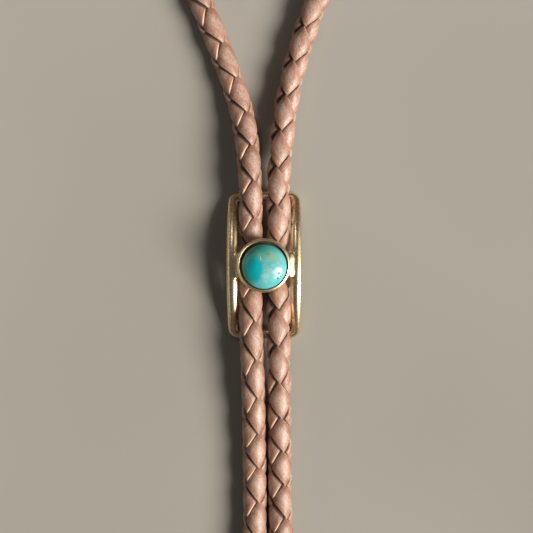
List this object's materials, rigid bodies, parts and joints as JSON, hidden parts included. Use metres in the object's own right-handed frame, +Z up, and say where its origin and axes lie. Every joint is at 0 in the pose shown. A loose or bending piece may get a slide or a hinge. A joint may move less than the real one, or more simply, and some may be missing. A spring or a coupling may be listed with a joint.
{
  "type": "bolo tie",
  "caption": "Bolo tie: a braided leather cord looped round the neck and drawn through an arched gold slide that carries a round turquoise cabochon.",
  "frame": {"origin": "on the surface that the tie lies on, under the middle of the outline of the slide and the neck loop", "axes": "+X across the slide, +Y from the slide along the neck loop to the back of the neck, +Z up through the stone"},
  "size_m": [0.1392, 0.3467, 0.0107],
  "materials": {
    "leather": "natural pink-tan braided leather with a soft satin sheen",
    "gold": "polished warm gold with hand-finished edges",
    "turquoise": "polished blue-green turquoise with a tan patch of matrix"
  },
  "bodies": {
    "root": {"slide_frame": "gold", "turquoise_cabochon": "turquoise", "neck_loop": "leather", "tail_left": "leather", "tail_right": "leather", "tip_left": "gold", "tip_right": "gold"}
  },
  "joints": []
}
